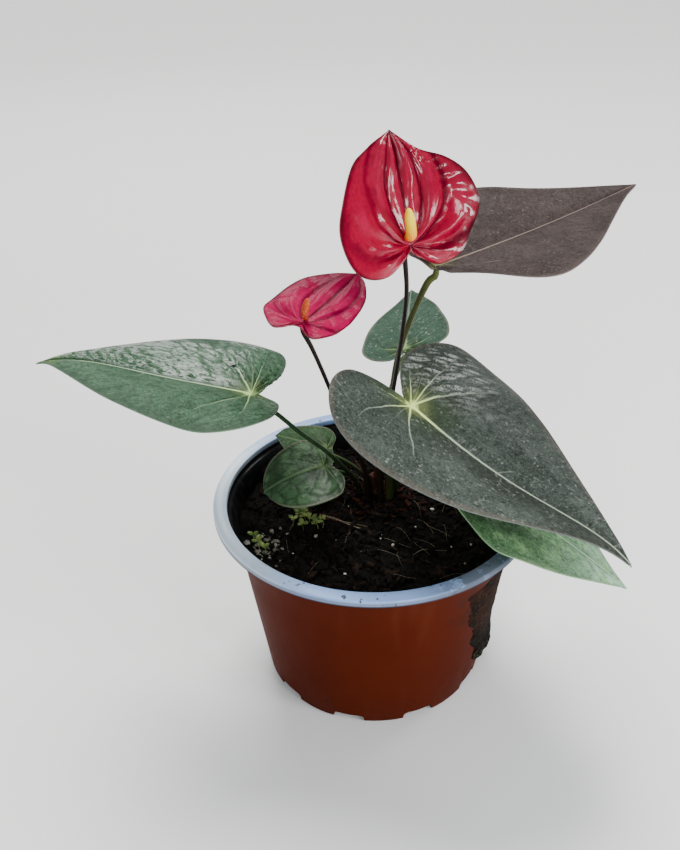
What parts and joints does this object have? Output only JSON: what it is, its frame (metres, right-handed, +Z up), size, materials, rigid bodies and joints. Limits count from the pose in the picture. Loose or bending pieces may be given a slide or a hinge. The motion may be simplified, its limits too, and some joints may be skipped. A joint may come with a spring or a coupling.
{
  "type": "potted anthurium",
  "caption": "Young flowering anthurium with heart-shaped leathery leaves and crimson spathes, growing from one crown in a low round nursery pot filled with soil.",
  "frame": {"origin": "centre of the pot's underside, on the surface that the pot stands on", "axes": "+Z up along the pot's axis, -Y towards the front, from where the large spathe is seen face on, +X to the right"},
  "size_m": [0.2612, 0.2005, 0.2452],
  "materials": {
    "pot": "thin two-tone moulded plastic, terracotta outside, black inside and blue-grey on the rim",
    "soil": "moist dark potting mix of peat and bark with white perlite grains",
    "crown": "short woody stem with dry brown sheaths",
    "caked_soil": "gritty dried soil stuck to the wall",
    "petiole_main": "smooth green leaf stalk",
    "blade_main": "dark grey-green leathery leaf with pale veins",
    "petiole_left": "smooth green leaf stalk",
    "blade_left": "green leathery leaf with a silvery quilted sheen",
    "petiole_upper": "smooth green leaf stalk",
    "blade_upper": "bronze-brown young leathery leaf with a beige midrib",
    "petiole_back": "smooth green leaf stalk",
    "blade_back": "blue-green leathery leaf with pale specks",
    "petiole_lower": "smooth green leaf stalk",
    "blade_lower": "green leathery leaf, paler at its tip",
    "petiole_small_front": "smooth green leaf stalk",
    "blade_small_front": "small dark green leaf",
    "petiole_small_back": "smooth green leaf stalk",
    "blade_small_back": "small green leaf",
    "peduncle_large": "smooth dark flower stalk",
    "spathe_large": "glossy crimson puckered spathe",
    "spadix_large": "finger of tiny packed florets, yellow tip and orange base",
    "peduncle_small": "smooth dark flower stalk",
    "spathe_small": "glossy magenta-crimson puckered spathe",
    "spadix_small": "finger of tiny packed florets, yellow tip and orange base"
  },
  "bodies": {
    "root": {"pot": "pot", "soil": "soil", "crown": "crown", "caked_soil": "caked_soil", "petiole_main": "petiole_main", "blade_main": "blade_main", "petiole_left": "petiole_left", "blade_left": "blade_left", "petiole_upper": "petiole_upper", "blade_upper": "blade_upper", "petiole_back": "petiole_back", "blade_back": "blade_back", "petiole_lower": "petiole_lower", "blade_lower": "blade_lower", "petiole_small_front": "petiole_small_front", "blade_small_front": "blade_small_front", "petiole_small_back": "petiole_small_back", "blade_small_back": "blade_small_back", "peduncle_large": "peduncle_large", "spathe_large": "spathe_large", "spadix_large": "spadix_large", "peduncle_small": "peduncle_small", "spathe_small": "spathe_small", "spadix_small": "spadix_small"}
  },
  "joints": []
}
